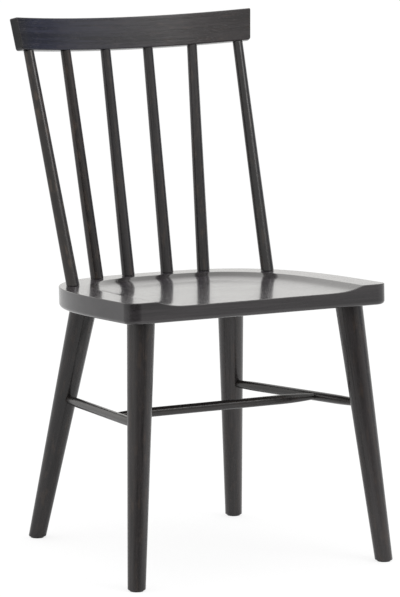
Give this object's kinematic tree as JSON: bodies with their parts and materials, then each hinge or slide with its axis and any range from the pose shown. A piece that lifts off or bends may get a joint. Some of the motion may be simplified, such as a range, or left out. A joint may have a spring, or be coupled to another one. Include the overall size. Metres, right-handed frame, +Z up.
{
  "type": "dining side chair",
  "caption": "Wooden dining side chair with a dished seat, raked tapered legs joined by stretchers, and a spindle back under a bent crest rail.",
  "frame": {"origin": "on the floor, under the middle of the chair's bounding box", "axes": "+Z up; the chair faces -Y; +X to the right as seen from the front"},
  "size_m": [0.4842, 0.5038, 0.8749],
  "materials": {
    "seat_stained_wood": "near-black stain under a satin lacquer",
    "crest_stained_wood": "near-black stain under a satin lacquer",
    "spindle_stained_wood": "near-black stain under a satin lacquer",
    "leg_stained_wood": "near-black stain under a satin lacquer",
    "stretcher_stained_wood": "near-black stain under a satin lacquer",
    "glide_nylon": "moulded, matte"
  },
  "bodies": {
    "root": {"seat": "seat_stained_wood", "crest_rail": "crest_stained_wood", "spindle_1": "spindle_stained_wood", "spindle_2": "spindle_stained_wood", "spindle_3": "spindle_stained_wood", "spindle_4": "spindle_stained_wood", "spindle_5": "spindle_stained_wood", "spindle_6": "spindle_stained_wood", "leg_front_left": "leg_stained_wood", "leg_front_right": "leg_stained_wood", "leg_rear_left": "leg_stained_wood", "leg_rear_right": "leg_stained_wood", "side_stretcher_left": "stretcher_stained_wood", "side_stretcher_right": "stretcher_stained_wood", "cross_stretcher": "stretcher_stained_wood", "glide_front_left": "glide_nylon", "glide_front_right": "glide_nylon", "glide_rear_left": "glide_nylon", "glide_rear_right": "glide_nylon"}
  },
  "joints": []
}
